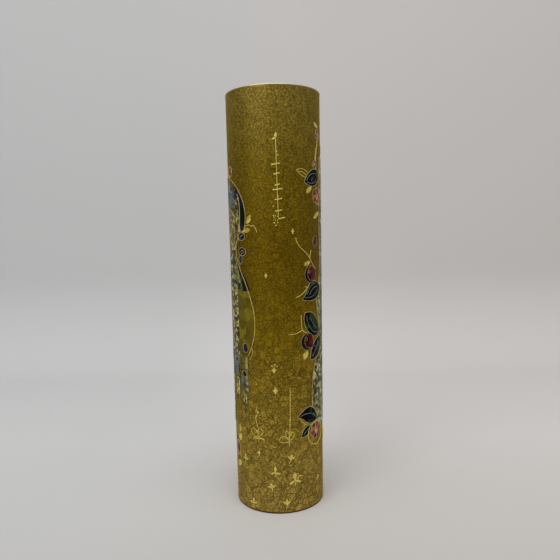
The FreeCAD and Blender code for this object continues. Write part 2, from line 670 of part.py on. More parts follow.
def make_roundel():
    """The head of the cartouche: a navy crescent at each side, an olive cap, mosaic and a rosette."""
    centre, radius = (CARTOUCHE, size("roundel_height")), size("roundel_radius")
    disc_face = oval(*centre, radius - 0.6, radius - 0.6)
    ring, bud = 24.6, 15.6
    full = ((0, 90), (90, 180), (180, 270), (270, 360))
    rims = [sector(centre, 33.0, 33.5, 46, 90), sector(centre, 33.0, 33.5, 90, 134)]
    for r in (ring, bud, 4.6):
        rims += [sector(centre, r - 0.45, r, start, end) for start, end in full]
    spokes = []
    for inner, outer, count in ((ring, 33.2, 12), (bud, ring, 8), (4.6, bud, 6)):
        for i in range(count):
            a = math.radians(360.0 / count * i)
            b = a + 0.08 * math.sin(3.0 * i)
            spokes.append(ribbon([(centre[0] + (inner - 0.3) * math.cos(a),
                                   centre[1] + (inner - 0.3) * math.sin(a)),
                                  (centre[0] + (outer - 0.3) * math.cos(b),
                                   centre[1] + (outer - 0.3) * math.sin(b))], 0.45))
    for angle in (46, 64, 90, 116, 134):
        a = math.radians(angle)
        spokes.append(ribbon([(centre[0] + r * math.cos(a), centre[1] + r * math.sin(a))
                              for r in (32.7, radius - 0.3)], 0.45))
    for reach in (19.0, 23.6, 27.6):
        streak = [(CARTOUCHE + reach, 301.0), (CARTOUCHE + reach + 1.0, 286.0),
                  (CARTOUCHE + reach - 1.2, 264.0)]
        for line in both(streak):
            spokes += ribbon(line, 0.45).common(disc_face).Faces
    star = [(0.0, 2.4), (0.6, 0.6), (2.0, 0.0), (0.6, -0.6), (0.0, -2.4), (-0.6, -0.6), (-2.0, 0.0),
            (-0.6, 0.6)]
    stars = [[(s - 38.6, z + 306.8) for s, z in star]]
    stars.append(mirrored(stars[0], CARTOUCHE))
    cells("white_star_enamels", [polygon(*points) for points in stars])
    wires("roundel_cloisons", rims + spokes)
    crescents = both([(-45.2, 317.6), (-18.0, 317.6), (-18.0, 277.0), (-36.2, 277.0),
                      (-37.4, 284.0), (-38.4, 293.4), (-39.6, 302.0), (-43.6, 307.6),
                      (-49.4, 311.4), (-48.0, 315.6)])
    cells("roundel_navy_enamels", [face for side in crescents
                                   for face in polygon(*side).common(disc_face).Faces])
    cells("roundel_olive_enamels", [sector(centre, 33.5, radius - 0.6, 46, 134)])
    upper = polygon((-120.0, 301.0), (-16.0, 301.0), (-16.0, 340.0), (-120.0, 340.0))
    rosette = oval(*centre, bud - 0.5, bud - 0.5)
    cells("rosette_enamels", [rosette])
    cells("roundel_sky_enamels", disc_face.common(upper).Faces)
    cells("roundel_meadow_enamels", [disc_face])


def make_beads():
    """Dark beads beside the cartouche, pale strokes of wire in the larger, and a hanging drop."""
    places = BEADS + [(2 * CARTOUCHE - s, z, w, h) for s, z, w, h in BEADS]
    beads, strokes = [], []
    for s, z, w, h in places:
        bead = oval(s, z, w, h)
        beads.append(bead)
        if w > 3.8:
            strokes.append(ribbon([(s - 0.6 * w, z - 0.1 * h), (s + 0.5 * w, z + 0.5 * h)], 0.45))
        if w > 4.0:
            strokes.append(ribbon([(s - 0.3 * w, z - 0.6 * h), (s + 0.7 * w, z)], 0.45))
    drops = [leaf(-37.2, 250.4, 9.0, 4.2, 80.0), leaf(2 * CARTOUCHE + 37.2, 250.4, 9.0, 4.2, 100.0)]
    wires("bead_cloisons", [rim for bead in beads + drops for rim in fence(bead, 0.45)] + strokes)
    cells("bead_enamels", beads + drops)


def make_drape():
    """The body of the cartouche below the roundel, between its two contour wires."""
    near, far = both(CONTOUR[4:])
    hem = [(-30.8, 158.2), (-45.0, 156.8), (CARTOUCHE, 160.0), (2 * CARTOUCHE + 45.0, 156.8),
           (2 * CARTOUCHE + 30.8, 158.2)]
    whole = outline(near, hem, far[::-1], [far[0], near[0]])
    inner = []
    for line in ([(-43.6, 262.0), (-42.8, 232.0), (-42.4, 200.0), (-42.8, 158.0)],
                 [(-50.6, 268.0), (-50.4, 230.0), (-50.8, 190.0), (-50.2, 157.6)],
                 [(-59.6, 258.0), (-59.8, 220.0), (-59.2, 190.0), (-59.6, 158.4)],
                 [(-43.4, 246.0), (-39.8, 236.0), (-36.6, 227.0), (-35.2, 220.4)],
                 [(-42.6, 222.0), (-36.0, 219.8), (-27.0, 215.6)],
                 [(-40.4, 211.0), (-36.4, 202.0), (-32.6, 193.0), (-31.2, 187.8), (-32.4, 183.6),
                  (-33.2, 176.0), (-33.2, 169.4)],
                 [(-42.6, 161.0), (-37.0, 167.0), (-33.4, 172.0)],
                 [(-46.0, 159.6), (-40.0, 161.2), (-36.2, 162.6)]):
        inner += both(line)
    for i in range(15):
        height = 163.0 + 6.1 * i + 1.4 * math.sin(2.3 * i)
        tilt = 1.3 * math.sin(1.7 * i)
        inner += both([(-42.7, height + tilt), (-50.6, height - tilt)])
        if i % 3 == 0:
            inner += both([(-50.8, height + 3.6 - tilt), (-59.6, height + 3.6 + tilt)])
            inner.append([(-59.6, height - tilt), (CARTOUCHE, height + 2.0), (-76.4, height - tilt)])
    inside = [part for line in inner for part in ribbon(line, 0.5).common(whole).Faces]
    wires("drape_cloisons", [ribbon(hem, 0.6)] + inside)
    beside = [(-38.4, 241.0), (-35.6, 239.0), (-30.6, 230.6), (-26.8, 221.8), (-28.4, 220.4),
              (-33.2, 231.6)]
    within = [(-43.4, 248.0), (-43.4, 246.0), (-39.8, 236.0), (-36.6, 227.0), (-35.2, 220.4),
              (-28.4, 220.4), (-33.2, 231.6), (-38.4, 241.0)]
    cells("drape_navy_enamels", [polygon(*side) for side in both(beside) + both(within)])
    cells("drape_olive_enamels", [face for side in both(
        [(-42.6, 222.0), (-20.0, 222.0), (-20.0, 157.0), (-42.6, 157.0)])
        for face in polygon(*side).common(whole).Faces])
    cells("drape_teal_enamels", [face for side in both(
        [(-28.0, 270.0), (-50.6, 270.0), (-50.6, 219.5), (-28.0, 219.5)])
        for face in polygon(*side).common(whole).Faces])
    cells("drape_mosaic_enamels", [whole])


def make_tails():
    """Strips of enamel hanging from the hem of the drape, and the wires between them."""
    pale = both([(-35.0, 156.6), (-31.6, 156.6), (-31.2, 121.4), (-34.6, 123.4)])
    grey = both([(-41.0, 136.6), (-35.8, 136.6), (-35.6, 125.0), (-41.0, 127.8)])
    mosaic = both([(-39.6, 122.0), (-33.4, 118.6), (-33.8, 109.0), (-36.8, 105.6), (-39.6, 109.0)])
    lilac = both([(-60.6, 157.0), (-42.4, 156.0), (-42.4, 141.0), (-50.0, 138.0), (-60.6, 144.0)])
    long = both([(-52.0, 137.4), (-44.6, 139.0), (-44.6, 118.0), (-52.0, 112.0)])
    middle = [[(-57.0, 142.4), (CARTOUCHE, 158.0), (-79.0, 142.4), (-76.0, 96.0), (CARTOUCHE, 84.0),
               (-60.0, 96.0)]]
    rims = [rim for side in pale + grey + mosaic + lilac + long + middle
            for rim in fence(polygon(*side), 0.5)]
    lines = both([(-45.0, 127.0), (-38.0, 123.4), (-31.0, 119.8)])
    lines += both([(-36.8, 105.2), (-36.8, 99.0), (-35.0, 93.0)])
    bars = []
    for i in range(9):
        height = 152.0 - 7.4 * i
        bars.append([(-59.0 - 0.1 * i, height + 1.0), (CARTOUCHE, height - 1.4), (-77.0, height + 1.0)])
    for height in (150.0, 144.0, 138.0, 132.0, 126.6):
        bars += both([(-36.0, height), (-30.6, height + 0.6)])
    for height in (116.4, 112.4):
        bars += both([(-40.0, height), (-33.2, height + 0.6)])
    bars += both([(-36.6, 121.4), (-36.7, 105.6)])
    area = [polygon(*side) for side in pale + grey + mosaic + middle]
    bars = [part for bar in bars for face in area for part in ribbon(bar, 0.5).common(face).Faces]
    wires("tail_cloisons", rims + [ribbon(line, WIDTH) for line in lines] + bars)
    cells("tail_pale_enamels", [polygon(*side) for side in pale])
    cells("tail_grey_enamels", [polygon(*side) for side in grey + lilac])
    cells("tail_mosaic_enamels", [polygon(*side) for side in mosaic + long + middle])


def make_left_flower():
    blooms = []
    for s, z, width, height in LEFT_BLOOMS:
        blooms += [oval(s, z, width, height), oval(2 * CARTOUCHE - s, z, width, height)]
    wires("left_flower_cloisons", [rim for bloom in blooms for rim in fence(bloom, 0.5)])
    cells("left_flower_enamels", blooms)


def fleuron(s, z, height, lean, droop):
    """A gilt floret: a tall middle petal, two side petals and a stem that curls to one side."""
    a = math.radians(lean)

    def on(side, up):
        return (s + side * math.cos(a) - up * math.sin(a), z + side * math.sin(a) + up * math.cos(a))

    def side_petal(way):
        b = math.radians(droop)
        middle = on(way * 0.26 * h * math.cos(b), -0.04 * h - 0.26 * h * math.sin(b))
        return leaf(*middle, 0.44 * h, 0.16 * h, lean - way * droop)
    h = height
    return [leaf(*on(0, 0.27 * h), 0.48 * h, 0.24 * h, 90 + lean), side_petal(-1), side_petal(1),
            oval(*on(0, -0.03 * h), 0.09 * h, 0.09 * h),
            ribbon([on(0, 0.0), on(0.02 * h, -0.24 * h), on(-0.08 * h, -0.44 * h)], 0.7)]


def make_field_ornaments():
    """The ticked stems, pendants, spangles and fleurons of the front and back fields."""
    stems, pendants, gilt = [], [], []
    for field in (0.0, BACK_FIELD):
        stems.append(ribbon([(field + s, z) for s, z in
                             ((1.9, 357.6), (2.2, 340.0), (2.6, 312.0), (3.2, 287.4))], 0.6))
        stems += [leaf(field + 2.1, 360.4, 5.6, 2.3, 80.0), leaf(field + 0.2, 357.6, 4.4, 1.5, 20.0)]
        stems += [ribbon([(field + left, z - 0.6), (field + right, z + 0.6)], 1.05)
                  for z, left, right in TICKS]
        pendants += [ribbon([(field + s, z) for s, z in line], 0.55) for line in PENDANTS]
        pendants.append(ribbon([(field + s, z) for s, z in BASE_LINE], 1.1))
        pendants += [oval(field + s, z, 0.85, 0.85) for s, z in BEADED_HEIGHTS]
        for s, z, width, height in SPANGLES:
            gilt += [leaf(field + s, z, height, width * 0.55, 90.0),
                     leaf(field + s, z, width * 1.3, height * 0.24, 0.0)]
        s, z, radius = RING_OF_DOTS
        around = [(s + radius * math.cos(a), z + radius * math.sin(a))
                  for a in (2 * math.pi * i / 7 for i in range(7))]
        gilt += [oval(field + s, z, 0.65, 0.65) for s, z in DOTS]
        gilt += [oval(field + s, z, 0.45, 0.45) for s, z in around]
        gilt.append(ribbon([(field + s, z) for s, z in CURL], 0.8))
        for s, z, height, lean, droop in FLEURONS:
            if field == 0.0 or abs(s) < 16.0:
                gilt += fleuron(field + s, z, height, lean, droop)
    wires("ticked_stem_cloisons", stems)
    wires("pendant_cloisons", pendants)
    wires("gilt_fleurons", gilt)


def check_and_export():
    doc.recompute()
    broken = [o.Name for o in doc.Objects if {"Invalid", "Error"} & set(o.State)]
    if broken:
        raise RuntimeError(f"failed objects: {broken}")
    os.makedirs("parts", exist_ok=True)
    for part in exported:
        shape = part.Shape
        if shape.isNull() or not shape.isValid() or not shape.Solids:
            raise RuntimeError(f"{part.Label}: no valid solid")
    for part in exported:
        part.Shape.exportStep(os.path.join("parts", f"{part.Label}.step"))
        print(part.Label, len(part.Shape.Solids), "solids", round(part.Shape.Volume, 1), "mm3")


make_structure()
make_fruits()
make_roses()
make_leaves()
make_gilt_leaves()
make_twigs()
make_trunk()
make_contour()
make_beads()
make_roundel()
make_drape()
make_tails()
make_left_flower()
make_field_ornaments()
check_and_export()
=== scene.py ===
"""The looks of the cloisonne vase, in metres, in the CAD's frame: +Z up, front facing -Y.

The turned parts are remade as fine lathed meshes. The fused decoration is copied from the CAD nodes
with its edges softened, as fired enamel and filed wire are. Every surface has a node material.
"""
import bmesh
import bpy
import math
from mathutils import Matrix, Vector


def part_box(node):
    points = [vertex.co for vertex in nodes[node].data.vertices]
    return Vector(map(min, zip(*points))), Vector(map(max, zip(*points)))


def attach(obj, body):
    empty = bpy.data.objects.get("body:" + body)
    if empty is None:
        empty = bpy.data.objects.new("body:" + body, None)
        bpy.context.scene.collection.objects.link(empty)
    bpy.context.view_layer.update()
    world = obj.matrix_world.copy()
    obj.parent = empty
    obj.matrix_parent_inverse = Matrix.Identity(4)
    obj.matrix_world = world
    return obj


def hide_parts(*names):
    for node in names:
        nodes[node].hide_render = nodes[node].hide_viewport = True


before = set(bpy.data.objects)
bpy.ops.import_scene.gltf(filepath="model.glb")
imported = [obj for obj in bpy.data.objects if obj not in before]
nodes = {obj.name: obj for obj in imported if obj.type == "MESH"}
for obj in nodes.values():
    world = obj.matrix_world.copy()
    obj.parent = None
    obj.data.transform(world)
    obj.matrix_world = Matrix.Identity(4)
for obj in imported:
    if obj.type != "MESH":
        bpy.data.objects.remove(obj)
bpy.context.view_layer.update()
MM = 0.001
SMOOTH_ANGLE = math.radians(40.0)   # an edge sharper than this stays a crease


# ---------------------------------------------------------------- node materials
def srgb(red, green, blue):
    """A colour picked on screen, 0 to 255, as the linear colour that shaders take."""
    def linear(value):
        value /= 255.0
        return value / 12.92 if value <= 0.04045 else ((value + 0.055) / 1.055) ** 2.4
    return (linear(red), linear(green), linear(blue), 1.0)


class Shader:
    """A node material built up one node at a time. A link is an output socket; a plain value is set
    on the input itself."""

    def __init__(self, name):
        self.material = bpy.data.materials.new(name)
        self.material.use_nodes = True
        self.tree = self.material.node_tree
        self.principled = self.tree.nodes["Principled BSDF"]
        self.place = self.add("ShaderNodeTexCoord").outputs["Object"]

    def add(self, kind, inputs=(), **settings):
        made = self.tree.nodes.new(kind)
        for key, value in settings.items():
            setattr(made, key, value)
        for key, value in dict(inputs).items():
            self.put(made.inputs[key], value)
        return made

    def put(self, socket, value):
        if isinstance(value, bpy.types.NodeSocket):
            self.tree.links.new(value, socket)
        else:
            socket.default_value = value

    def finish(self, **inputs):
        for key, value in inputs.items():
            self.put(self.principled.inputs[key.replace("_", " ")], value)
        return self.material

    def noise(self, scale, detail, roughness):
        made = self.add("ShaderNodeTexNoise", {"Vector": self.place, "Scale": scale,
                                               "Detail": detail, "Roughness": roughness})
        return made.outputs["Fac"]

    def voronoi(self, scale, feature, place=None, output="Distance"):
        made = self.add("ShaderNodeTexVoronoi", {"Vector": place or self.place, "Scale": scale},
                        feature=feature)
        return made.outputs[output]

    def math(self, operation, a, b=0.0, clamp=False):
        made = self.add("ShaderNodeMath", {0: a, 1: b}, operation=operation, use_clamp=clamp)
        return made.outputs[0]

    def ramp(self, value, low, high, start=0.0, end=1.0):
        """value carried from low..high to start..end, held flat outside."""
        made = self.add("ShaderNodeMapRange", {"Value": value, "From Min": low, "From Max": high,
                                               "To Min": start, "To Max": end})
        return made.outputs["Result"]

    def mix(self, share, first, second, blend="MIX"):
        made = self.add("ShaderNodeMix", data_type="RGBA", blend_type=blend)
        for index, value in ((0, share), (6, first), (7, second)):
            self.put(made.inputs[index], value)
        return made.outputs[2]

    def bands(self, value, stops):
        """A colour ramp. Each stop is its position, then red, green and blue as srgb takes them."""
        made = self.add("ShaderNodeValToRGB", {"Fac": value})
        elements = made.color_ramp.elements
        while len(elements) < len(stops):
            elements.new(0.5)
        for element, (position, *colour) in zip(elements, stops):
            element.position = position
            element.color = srgb(*colour)
        return made.outputs["Color"]

    def height(self):
        """z in metres."""
        return self.add("ShaderNodeSeparateXYZ", {"Vector": self.place}).outputs["Z"]

    def bump(self, value, distance, strength):
        made = self.add("ShaderNodeBump", {"Height": value, "Distance": distance,
                                           "Strength": strength})
        return made.outputs["Normal"]

    def wobbled(self, amount, scale):
        """The place shifted by noise, so that what is drawn on it runs unevenly."""
        noise = self.add("ShaderNodeTexNoise", {"Vector": self.place, "Scale": scale, "Detail": 2.0})
        offset = self.add("ShaderNodeVectorMath", {0: noise.outputs["Color"], 1: (0.5, 0.5, 0.5)},
                          operation="SUBTRACT")
        scaled = self.add("ShaderNodeVectorMath", {0: offset.outputs[0], "Scale": amount},
                          operation="SCALE")
        moved = self.add("ShaderNodeVectorMath", {0: self.place, 1: scaled.outputs[0]},
                         operation="ADD")
        return moved.outputs[0]


VASE_HEIGHT = 0.405
# share of the vase's height, then the ground's colour there; the change with height is painted reflection,
# lighter towards the foot and the lip and darkest, as painted shade, about three fifths up
GROUND_TONES_WITH_PAINTED_REFLECTION = [(0.0, 172, 146, 70), (0.22, 162, 136, 50), (0.42, 134, 110, 12),
                (0.62, 116, 92, 3), (0.8, 124, 102, 14), (1.0, 144, 124, 50)]


def crackle_ground():
    """Olive gold enamel over foil: flakes with brown lines between them, coarse near the foot and fine
    as sand towards the lip. By height it carries painted reflection: lighter towards the foot and
    the lip, and deepest, as painted shade, about three fifths of the way up."""
    s = Shader("gold_crackle_enamel")
    height = s.height()
    place = s.wobbled(0.0026, 420.0)
    coarse_flakes, middle_flakes, sand_grains = 150.0, 340.0, 700.0
    coarse_edge = s.voronoi(coarse_flakes, "DISTANCE_TO_EDGE", place)
    coarse_tone = s.voronoi(coarse_flakes, "F1", place, "Color")
    coarse_tone = s.add("ShaderNodeSeparateColor", {"Color": coarse_tone}).outputs[0]
    middle_edge = s.voronoi(middle_flakes, "DISTANCE_TO_EDGE", place)
    sand = s.noise(sand_grains, 2.0, 0.75)
    cloud = s.noise(24.0, 4.0, 0.6)
    low_down = s.ramp(height, 0.290, 0.120)
    high_up = s.math("SUBTRACT", 1.0, low_down)
    coarse_line = s.math("MULTIPLY", s.ramp(coarse_edge, 0.07, 0.03),
                         s.ramp(low_down, 0.0, 1.0, 0.05, 0.95))
    broken = s.math("MAXIMUM", high_up, s.ramp(coarse_tone, 0.62, 0.50, 0.2, 1.0))
    middle_line = s.math("MULTIPLY", s.ramp(middle_edge, 0.12, 0.05),
                         s.ramp(low_down, 0.0, 1.0, 0.7, 0.8))
    middle_line = s.math("MULTIPLY", middle_line, broken)
    pit = s.math("MULTIPLY", s.ramp(sand, 0.44, 0.36), s.ramp(low_down, 0.0, 1.0, 0.75, 0.7))
    dark = s.math("MAXIMUM", s.math("MAXIMUM", coarse_line, middle_line), pit, clamp=True)
    dark = s.math("MULTIPLY", dark, s.ramp(cloud, 0.3, 0.7, 0.6, 1.0))
    # painted reflection and shade: the gold is lighter towards the foot and lip and darkest three fifths
    # up
    gold = s.bands(s.ramp(height, 0.0, VASE_HEIGHT), GROUND_TONES_WITH_PAINTED_REFLECTION)
    light = s.ramp(coarse_tone, 0.3, 0.9, 0.94, 1.08)
    light = s.math("MULTIPLY", light, s.ramp(sand, 0.44, 0.62, 0.74, 1.5))
    light = s.math("MULTIPLY", light, s.ramp(cloud, 0.3, 0.7, 0.95, 1.05))
    gold = s.mix(1.0, gold, s.add("ShaderNodeCombineColor",
                                  {0: light, 1: light, 2: light}).outputs[0], "MULTIPLY")
    brown_line = srgb(60, 42, 6)
    colour = s.mix(s.math("MULTIPLY", dark, 0.85), gold, brown_line)
    relief = s.math("SUBTRACT", s.math("MULTIPLY", sand, 0.35), dark)
    return s.finish(Base_Color=colour, Metallic=0.72, Specular_IOR_Level=0.3,
                    Specular_Tint=srgb(236, 218, 160),
                    Roughness=s.ramp(sand, 0.3, 0.7, 0.46, 0.62),
                    Normal=s.bump(relief, 0.00008, 0.4), Coat_Weight=0.05, Coat_Roughness=0.25)


def enamel(name, stops, cell=160.0, fleck=700.0, sparkle=0.12, gloss=0.22, foil=0.0, sheen=0.16):
    """Fired enamel: patches of colour that bleed into each other, with fine grains in them. cell and
    fleck are the scales of the patches and the grains, and sparkle is how pale the grains are. gloss
    is the lowest roughness, foil how much gold leaf shows, and sheen how much light the skin returns."""
    s = Shader(name)
    place = s.wobbled(0.003, 240.0)
    patch = s.voronoi(cell, "F1", place, "Color")
    patch = s.add("ShaderNodeSeparateColor", {"Color": patch}).outputs[1]
    cloud = s.noise(cell * 0.8, 4.0, 0.65)
    value = s.math("ADD", s.math("MULTIPLY", patch, 0.6), s.math("MULTIPLY", cloud, 0.4))
    colour = s.bands(s.ramp(value, 0.28, 0.72), stops)
    grain = s.noise(fleck, 4.0, 0.7)
    pale_grain, dark_grain = srgb(206, 190, 140), srgb(16, 14, 10)
    colour = s.mix(s.ramp(grain, 0.56, 0.72, 0.0, sparkle), colour, pale_grain)
    colour = s.mix(s.ramp(grain, 0.44, 0.30, 0.0, 0.6), colour, dark_grain)
    return s.finish(Base_Color=colour, Roughness=s.ramp(grain, 0.3, 0.7, gloss, gloss + 0.2),
                    Specular_IOR_Level=sheen, Metallic=foil,
                    Normal=s.bump(s.math("ADD", cloud, s.math("MULTIPLY", grain, 0.3)), 0.00014, 0.5))


def metal(name, bright, worn, roughness, metallic=0.82, painted_highlight_above=None):
    """Metal, filed and handled: bright where polished by handling and worn where not. Above the given
    height, in metres, a pale painted highlight stands for the light caught over the next 0.8 mm."""
    s = Shader(name)
    wear = s.noise(310.0, 4.0, 0.6)
    scratch = s.noise(2100.0, 2.0, 0.6)
    colour = s.mix(s.ramp(wear, 0.36, 0.62), worn, bright)
    if painted_highlight_above:
        # a pale painted highlight along the top edge, standing for the light it catches
        painted_highlight = s.ramp(s.height(), painted_highlight_above, painted_highlight_above + 0.8 * MM)
        colour = s.mix(painted_highlight, colour, srgb(236, 230, 200))
    return s.finish(Base_Color=colour, Metallic=metallic,
                    Roughness=s.ramp(wear, 0.3, 0.7, roughness + 0.12, roughness - 0.04),
                    Normal=s.bump(scratch, 0.00004, 0.5))


def counter_enamel(name, colour, speck):
    """The lining's enamel: one dark colour with a few pale specks and an orange-peel skin."""
    s = Shader(name)
    spot = s.voronoi(500.0, "F1")
    peel = s.noise(190.0, 3.0, 0.5)
    mixed = s.mix(s.ramp(spot, 0.16, 0.08), colour, speck)
    mixed = s.mix(s.ramp(peel, 0.35, 0.7, 0.0, 0.35), mixed, srgb(14, 26, 36))
    return s.finish(Base_Color=mixed, Roughness=s.ramp(peel, 0.3, 0.7, 0.2, 0.36),
                    Normal=s.bump(peel, 0.00025, 0.5), Coat_Weight=0.4, Coat_Roughness=0.15)


def backdrop(name):
    """Matt off-white paper whose tones are painted light: lightest where the floor runs back, darker at
    the front and up the wall as painted shade. Both sides are painted a shade darker, the left one cooler
    and the right one warmer, the right as a painted shadow."""
    s = Shader(name)
    place = s.add("ShaderNodeSeparateXYZ", {"Vector": s.place})
    side, depth, height = (place.outputs[axis] for axis in "XYZ")
    grain = s.noise(900.0, 2.0, 0.5)
    # painted light: the floor darker at the front and lightest where it runs back
    floor = s.mix(s.ramp(depth, -0.22, 0.16), srgb(202, 199, 195), srgb(234, 233, 231))
    # painted shade: the wall a shade darker than the back of the floor
    tone = s.mix(s.ramp(height, 0.0, 0.17), floor, srgb(214, 211, 209))
    # painted shade on the left side, cooler
    tone = s.mix(s.ramp(side, 0.05, -0.25, 0.0, 0.5), tone, srgb(203, 206, 208))
    # painted shadow on the right side, warmer
    tone = s.mix(s.ramp(side, 0.0, 0.12, 0.0, 0.35), tone, srgb(212, 208, 204))
    return s.finish(Base_Color=tone, Roughness=0.88, Specular_IOR_Level=0.15,
                    Normal=s.bump(grain, 0.00006, 0.3))


# ---------------------------------------------------------------- meshes
def link(mesh, name):
    piece = bpy.data.objects.new(name, mesh)
    bpy.context.scene.collection.objects.link(piece)
    return piece


def round_points(count):
    """The cosine and sine of each of count angles, evenly spaced round a circle."""
    return [(math.cos(2 * math.pi * i / count), math.sin(2 * math.pi * i / count))
            for i in range(count)]


def lathed(name, profile, material, replaces, segments=320):
    """A closed profile of (radius, height) in millimetres turned about the vase's axis."""
    bm = bmesh.new()
    rings = []
    for radius, height in profile:
        rings.append([bm.verts.new((radius * MM * x, radius * MM * y, height * MM))
                      for x, y in round_points(segments)])
    for near, far in zip(rings, rings[1:] + rings[:1]):
        for i in range(segments):
            j = (i + 1) % segments
            bm.faces.new((near[i], near[j], far[j], far[i]))
    bmesh.ops.recalc_face_normals(bm, faces=bm.faces)
    mesh = bpy.data.meshes.new(name)
    bm.to_mesh(mesh)
    bm.free()
    return dressed(link(mesh, name), material, replaces)


def round_plate(name, radius, low, high, material, replaces, sag=0.1, rings=24, segments=128):
    """A disc whose top is slightly sagged in the middle, as sheet is after firing."""
    bm = bmesh.new()
    steps = [radius * i / rings for i in range(1, rings + 1)]
    for side, level, sink in ((1, high, sag), (-1, low, 0.0)):
        centre = bm.verts.new((0, 0, (level - side * sink) * MM))
        before = None
        for r in steps:
            drop = sink * (1 - (r / radius) ** 2)
            ring = [bm.verts.new((r * MM * x, r * MM * y, (level - drop) * MM))
                    for x, y in round_points(segments)]
            for i in range(segments):
                j = (i + 1) % segments
                if before is None:
                    bm.faces.new((centre, ring[i], ring[j]))
                else:
                    bm.faces.new((before[i], ring[i], ring[j], before[j]))
            before = ring
        if side == 1:
            top_rim = before
    for i in range(segments):
        j = (i + 1) % segments
        bm.faces.new((top_rim[i], before[i], before[j], top_rim[j]))
    bmesh.ops.recalc_face_normals(bm, faces=bm.faces)
    mesh = bpy.data.meshes.new(name)
    bm.to_mesh(mesh)
    bm.free()
    return dressed(link(mesh, name), material, replaces)


def dressed(piece, material, replaces):
    """Gives a new piece its material, shading and body, and the nodes it stands for."""
    piece.data.materials.clear()
    piece.data.materials.append(material)
    piece.data.shade_smooth()
    piece.data.set_sharp_from_angle(angle=SMOOTH_ANGLE)
    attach(piece, "root")
    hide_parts(*replaces)
    return piece


def softened(node, material, radius):
    """A copy of a CAD node's mesh with its sharp edges rounded to a radius in millimetres."""
    sharp_angle = math.radians(50)
    bm = bmesh.new()
    bm.from_mesh(nodes[node].data)
    bmesh.ops.remove_doubles(bm, verts=bm.verts, dist=0.002 * MM)
    sharp = [edge for edge in bm.edges
             if len(edge.link_faces) == 2 and edge.calc_face_angle(0.0) > sharp_angle]
    bmesh.ops.bevel(bm, geom=sharp, offset=radius * MM, segments=2, profile=0.5, affect="EDGES",
                    clamp_overlap=True)
    mesh = bpy.data.meshes.new(f"{node}_fired")
    bm.to_mesh(mesh)
    bm.free()
    return dressed(link(mesh, f"{node}_fired"), material, (node,))


# ---------------------------------------------------------------- the vase
GOLD = metal("cloison_gold", srgb(238, 220, 112), srgb(214, 192, 84), roughness=0.4, metallic=0.5)
PALE_GOLD = metal("cloison_pale_gold", srgb(204, 188, 128), srgb(158, 140, 84),
                  roughness=0.42, metallic=0.5)
WORN_GOLD = metal("cloison_worn_gold", srgb(136, 126, 72), srgb(82, 76, 38),
                  roughness=0.46, metallic=0.5)
SILVER = metal("vein_silver", srgb(158, 170, 164), srgb(110, 122, 116), roughness=0.42, metallic=0.4)
DULL_GOLD = metal("cloison_dull_gold", srgb(172, 148, 108), srgb(124, 104, 70),
                  roughness=0.42, metallic=0.5)
CONTOUR_GOLD = metal("cloison_contour_gold", srgb(212, 192, 104), srgb(174, 154, 74),
                     roughness=0.42, metallic=0.5)
# the lip's top 0.8 mm carries a pale painted highlight
GILT_LIP = metal("lip_gold", srgb(150, 128, 56), srgb(128, 106, 40),
                 roughness=0.36, metallic=0.75, painted_highlight_above=0.4038)
FOOT_METAL = metal("foot_bronze", srgb(96, 74, 44), srgb(44, 32, 20), roughness=0.42)
COPPER = metal("copper_sheet", srgb(176, 110, 74), srgb(120, 72, 48), roughness=0.4)
SOLDER = metal("solder_silver", srgb(170, 168, 160), srgb(120, 118, 112), roughness=0.4)
LINING = counter_enamel("counter_enamel", srgb(30, 58, 78), srgb(150, 170, 170))

